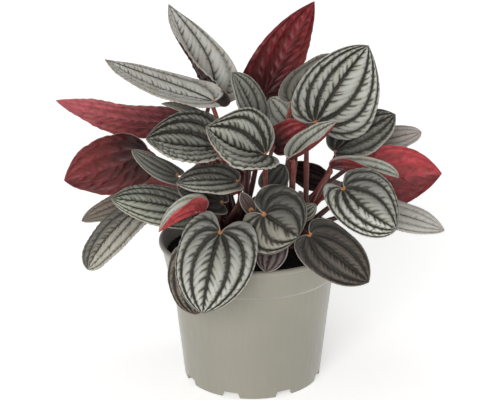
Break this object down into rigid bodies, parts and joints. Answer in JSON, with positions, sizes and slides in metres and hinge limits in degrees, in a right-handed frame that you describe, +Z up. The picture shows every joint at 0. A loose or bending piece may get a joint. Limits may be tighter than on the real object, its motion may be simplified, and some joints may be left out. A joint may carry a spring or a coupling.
{
  "type": "potted plant",
  "caption": "Potted peperomia: a clump of rippled heart-shaped leaves on fleshy red stalks, in a round tapered nursery pot that stands on a notched foot.",
  "frame": {"origin": "on the surface that the pot stands on, at the middle of the whole plant's box, which is the pot's axis to within 2 mm", "axes": "+Z up along the pot's axis, -Y towards the side that the picture shows, +X to that side's right"},
  "size_m": [0.2473, 0.1739, 0.2401],
  "materials": {
    "pot_plastic": "satin warm grey-beige moulded plastic",
    "peat": "dark crumbly moist peat",
    "stalk_flesh": "smooth fleshy red-brown stalk",
    "blade_tissue": "silver-green quilted leaf with dark furrows above, dark red beneath"
  },
  "bodies": {
    "root": {"pot": "pot_plastic", "soil": "peat", "stem_front": "stalk_flesh", "stem_left": "stalk_flesh", "stem_right": "stalk_flesh", "stem_back_left": "stalk_flesh", "stem_back_right": "stalk_flesh", "leaf_top_red": "blade_tissue", "leaf_top_left": "blade_tissue", "leaf_left_long": "blade_tissue", "leaf_left_red": "blade_tissue", "leaf_left_low_red": "blade_tissue", "leaf_upper_middle": "blade_tissue", "leaf_big_right": "blade_tissue", "leaf_behind_big_right": "blade_tissue", "leaf_pale_behind": "blade_tissue", "leaf_small_crimson": "blade_tissue", "leaf_mid_left": "blade_tissue", "leaf_behind_mid_left": "blade_tissue", "leaf_centre": "blade_tissue", "leaf_inner_left": "blade_tissue", "leaf_inner_low": "blade_tissue", "leaf_left_curved": "blade_tissue", "leaf_left_folded": "blade_tissue", "leaf_left_silver": "blade_tissue", "leaf_left_brown": "blade_tissue", "leaf_left_bottom": "blade_tissue", "leaf_small_right": "blade_tissue", "leaf_right_dark": "blade_tissue", "leaf_right_pale": "blade_tissue", "leaf_right_red": "blade_tissue", "leaf_right_folded": "blade_tissue", "leaf_right_front": "blade_tissue", "leaf_far_right": "blade_tissue", "leaf_low_right": "blade_tissue", "leaf_front_middle": "blade_tissue", "leaf_front_left": "blade_tissue", "leaf_hanging_brown": "blade_tissue", "leaf_small_hanging": "blade_tissue", "leaf_inner_dark": "blade_tissue", "leaf_young_red": "blade_tissue", "leaf_young_dark": "blade_tissue", "leaf_edge_right": "blade_tissue", "leaf_back_rim": "blade_tissue", "leaf_back_left": "blade_tissue", "leaf_back_right": "blade_tissue", "leaf_back_middle": "blade_tissue", "leaf_back_far_right": "blade_tissue", "leaf_back_far_left": "blade_tissue", "leaf_back_high_left": "blade_tissue", "leaf_back_high_right": "blade_tissue"}
  },
  "joints": []
}
